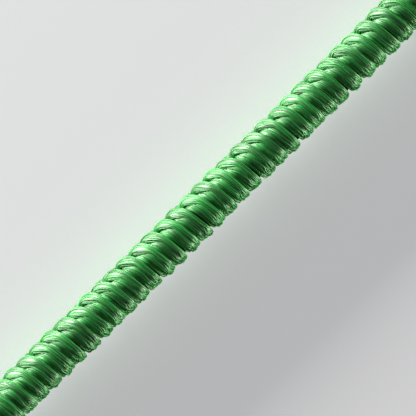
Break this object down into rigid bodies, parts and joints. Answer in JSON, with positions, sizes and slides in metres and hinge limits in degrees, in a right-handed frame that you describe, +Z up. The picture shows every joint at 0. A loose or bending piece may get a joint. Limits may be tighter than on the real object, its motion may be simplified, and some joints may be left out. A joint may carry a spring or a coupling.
{
  "type": "dynamic climbing rope",
  "caption": "Short taut length of coarse-ribbed green climbing rope: braided sheath over parallel core strands, with a sewn eye round a metal thimble at each end.",
  "frame": {"origin": "on the surface that the part lies on, under the middle of the free stretch", "axes": "+X along the taut free stretch towards end B, +Y across it, +Z up from the surface"},
  "size_m": [0.3102, 0.0492, 0.0118],
  "materials": {
    "sheath": "silky green multifilament braid in coarse ribs, satin sheen along the yarns",
    "core_yarn": "undyed white yarn",
    "thimble": "turned and lightly worn",
    "sleeve": "matte black shrink tube",
    "thread": "waxed bonded thread, off-white",
    "melt": "melted and set yarn, dark green"
  },
  "bodies": {
    "root": {"core_strand_01": "core_yarn", "core_strand_02": "core_yarn", "core_strand_03": "core_yarn", "core_strand_04": "core_yarn", "core_strand_05": "core_yarn", "core_strand_06": "core_yarn", "core_strand_07": "core_yarn", "core_strand_08": "core_yarn", "core_strand_09": "core_yarn", "core_strand_10": "core_yarn", "core_strand_11": "core_yarn", "core_strand_12": "core_yarn", "mantle": "sheath", "core_eye_a": "core_yarn", "thimble_a": "thimble", "shrink_sleeve_a": "sleeve", "stitching_a": "thread", "fused_tip_a": "melt", "core_eye_b": "core_yarn", "thimble_b": "thimble", "shrink_sleeve_b": "sleeve", "stitching_b": "thread", "fused_tip_b": "melt"}
  },
  "joints": []
}
